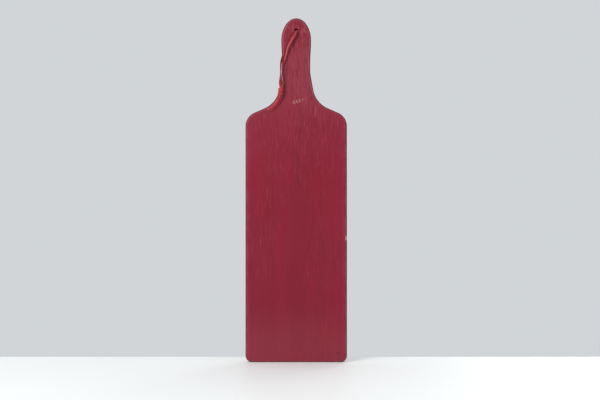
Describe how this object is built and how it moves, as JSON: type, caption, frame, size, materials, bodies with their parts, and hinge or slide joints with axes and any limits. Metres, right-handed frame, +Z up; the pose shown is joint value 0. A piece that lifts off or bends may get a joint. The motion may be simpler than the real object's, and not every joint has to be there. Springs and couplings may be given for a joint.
{
  "type": "long-handled serving board",
  "caption": "Long rectangular painted wooden serving board with a rounded paddle handle and a leather lace loop knotted through the handle's hole.",
  "frame": {"origin": "centre of the board's foot, on the surface it stands on", "axes": "+Z up along the board to the handle's end, -Y out of the front face that carries the stamped sprig, +X to the right as the front is looked at"},
  "size_m": [0.18, 0.0328, 0.61],
  "materials": {
    "painted_wood": "satin red paint over open-pored wood",
    "red_leather": "smooth red leather"
  },
  "bodies": {
    "board": {"board": "painted_wood"},
    "lace": {"lace_front_strand": "red_leather", "lace_back_strand": "red_leather", "lace_knot": "red_leather", "lace_tail_left": "red_leather", "lace_tail_right": "red_leather"}
  },
  "joints": [
    {"name": "lace_swing", "type": "hinge", "parent": "board", "child": "lace", "pos_m": [0, 0, 0.5885], "axis": [0, 1, 0], "range_deg": [0, 300]}
  ]
}
